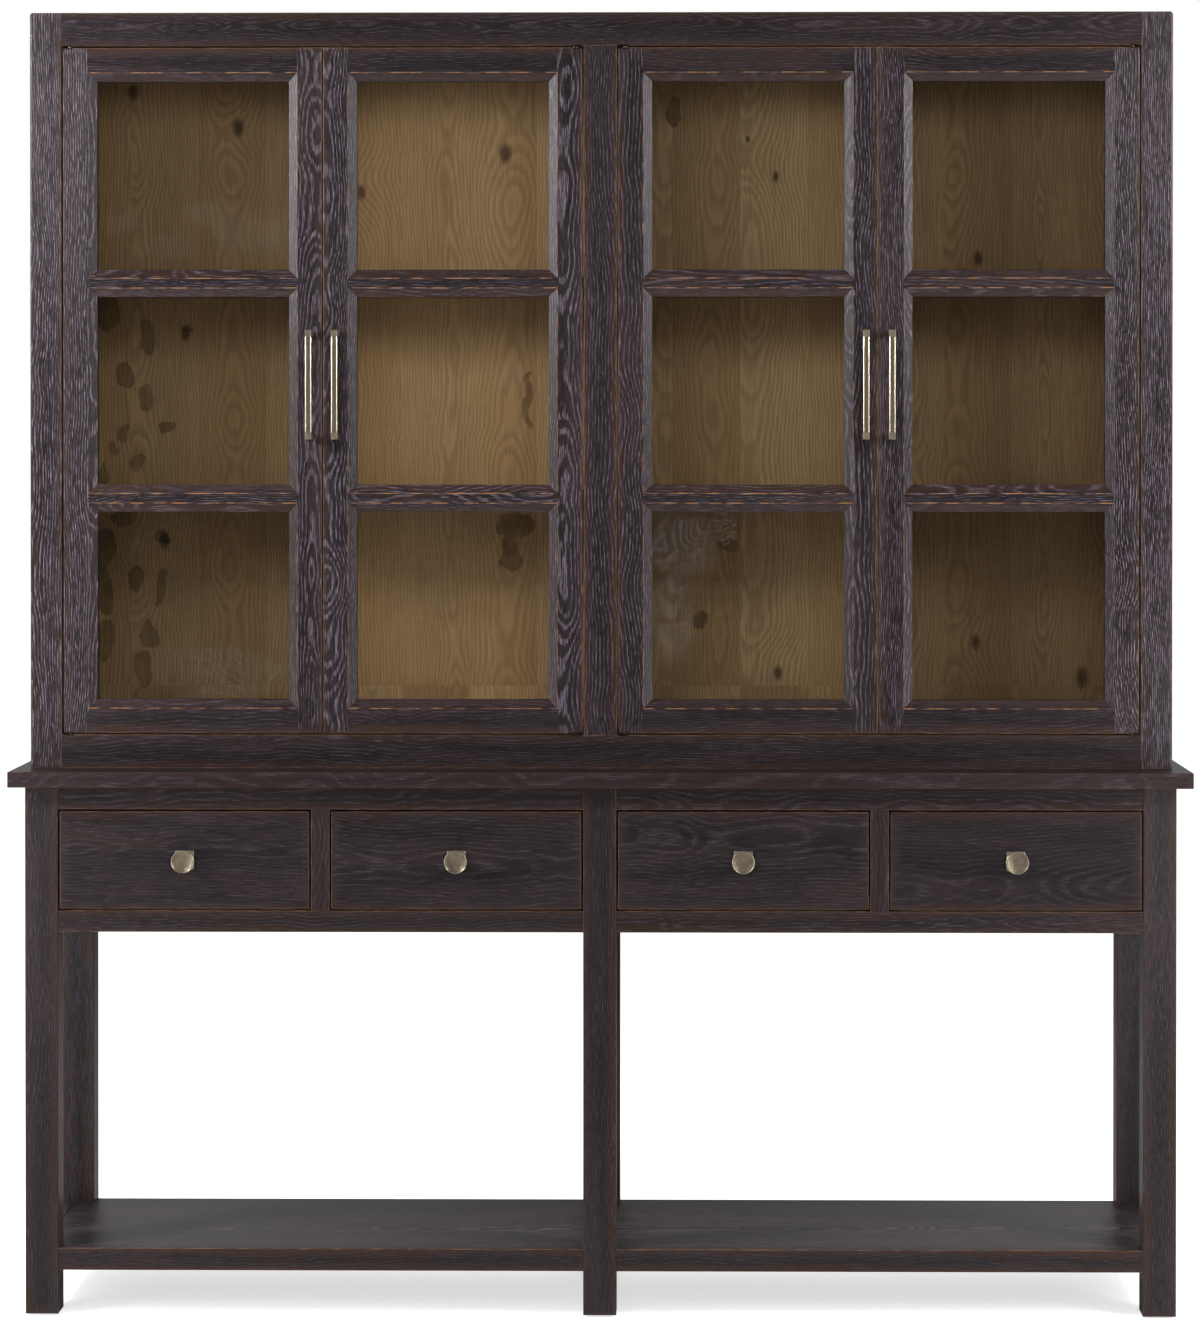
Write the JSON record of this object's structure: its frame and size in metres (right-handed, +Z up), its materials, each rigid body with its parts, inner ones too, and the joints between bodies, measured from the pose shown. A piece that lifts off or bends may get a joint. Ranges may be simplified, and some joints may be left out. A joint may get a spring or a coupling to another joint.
{
  "type": "dresser with hutch",
  "caption": "Tall dark oak dresser: glazed hutch with bar pulls above a counter, a row of knobbed drawers, and an open base with a low shelf.",
  "frame": {"origin": "on the floor, under the middle of the whole piece", "axes": "+X to the right of someone facing the doors, -Y out of the front, +Z up"},
  "size_m": [2.032, 0.503, 2.25],
  "materials": {
    "dark_oak": "wire-brushed, stained near black, satin",
    "natural_oak": "clear satin",
    "glass": "wavy antique",
    "champagne_metal": "brushed, aged champagne",
    "dark_bronze": "dark patina",
    "glide_plastic": "matte"
  },
  "bodies": {
    "carcase": {"base_back_panels": "dark_oak", "base_front_rails": "dark_oak", "base_side_panels": "dark_oak", "counter_top": "dark_oak", "door_catches": "natural_oak", "drawer_dividers": "dark_oak", "drawer_partitions": "natural_oak", "drawer_runners": "natural_oak", "front_legs": "dark_oak", "hinge_frame_plates": "dark_bronze", "hutch_back_panels": "natural_oak", "hutch_dowels": "natural_oak", "hutch_face_rails": "dark_oak", "hutch_face_stiles": "dark_oak", "hutch_floor_board": "dark_oak", "hutch_partition": "natural_oak", "hutch_shelves": "natural_oak", "hutch_sides": "dark_oak", "hutch_top_board": "dark_oak", "leg_glides": "glide_plastic", "lower_shelf_boards": "dark_oak", "lower_shelf_rails": "dark_oak", "rear_legs": "dark_oak", "shelf_pins": "dark_bronze"},
    "door_1": {"door_1_beads": "dark_oak", "door_1_fittings": "dark_bronze", "door_1_glass": "glass", "door_1_pull": "champagne_metal", "door_1_rails": "dark_oak", "door_1_stiles": "dark_oak"},
    "door_2": {"door_2_beads": "dark_oak", "door_2_fittings": "dark_bronze", "door_2_glass": "glass", "door_2_pull": "champagne_metal", "door_2_rails": "dark_oak", "door_2_stiles": "dark_oak"},
    "door_3": {"door_3_beads": "dark_oak", "door_3_fittings": "dark_bronze", "door_3_glass": "glass", "door_3_pull": "champagne_metal", "door_3_rails": "dark_oak", "door_3_stiles": "dark_oak"},
    "door_4": {"door_4_beads": "dark_oak", "door_4_fittings": "dark_bronze", "door_4_glass": "glass", "door_4_pull": "champagne_metal", "door_4_rails": "dark_oak", "door_4_stiles": "dark_oak"},
    "drawer_1": {"drawer_1_box": "natural_oak", "drawer_1_front": "dark_oak", "drawer_1_knob": "champagne_metal"},
    "drawer_2": {"drawer_2_box": "natural_oak", "drawer_2_front": "dark_oak", "drawer_2_knob": "champagne_metal"},
    "drawer_3": {"drawer_3_box": "natural_oak", "drawer_3_front": "dark_oak", "drawer_3_knob": "champagne_metal"},
    "drawer_4": {"drawer_4_box": "natural_oak", "drawer_4_front": "dark_oak", "drawer_4_knob": "champagne_metal"}
  },
  "joints": [
    {"name": "door_1_hinge", "type": "hinge", "parent": "carcase", "child": "door_1", "pos_m": [-0.92, -0.1555, 1.595], "axis": [0, 0, -1], "range_deg": [0, 110]},
    {"name": "door_2_hinge", "type": "hinge", "parent": "carcase", "child": "door_2", "pos_m": [-0.0435, -0.1555, 1.595], "axis": [0, 0, 1], "range_deg": [0, 90]},
    {"name": "door_3_hinge", "type": "hinge", "parent": "carcase", "child": "door_3", "pos_m": [0.0435, -0.1555, 1.595], "axis": [0, 0, -1], "range_deg": [0, 90]},
    {"name": "door_4_hinge", "type": "hinge", "parent": "carcase", "child": "door_4", "pos_m": [0.92, -0.1555, 1.595], "axis": [0, 0, 1], "range_deg": [0, 110]},
    {"name": "drawer_1_slide", "type": "slide", "parent": "carcase", "child": "drawer_1", "axis": [0, -1, 0], "range_m": [0, 0.3]},
    {"name": "drawer_2_slide", "type": "slide", "parent": "carcase", "child": "drawer_2", "axis": [0, -1, 0], "range_m": [0, 0.3]},
    {"name": "drawer_3_slide", "type": "slide", "parent": "carcase", "child": "drawer_3", "axis": [0, -1, 0], "range_m": [0, 0.3]},
    {"name": "drawer_4_slide", "type": "slide", "parent": "carcase", "child": "drawer_4", "axis": [0, -1, 0], "range_m": [0, 0.3]}
  ]
}
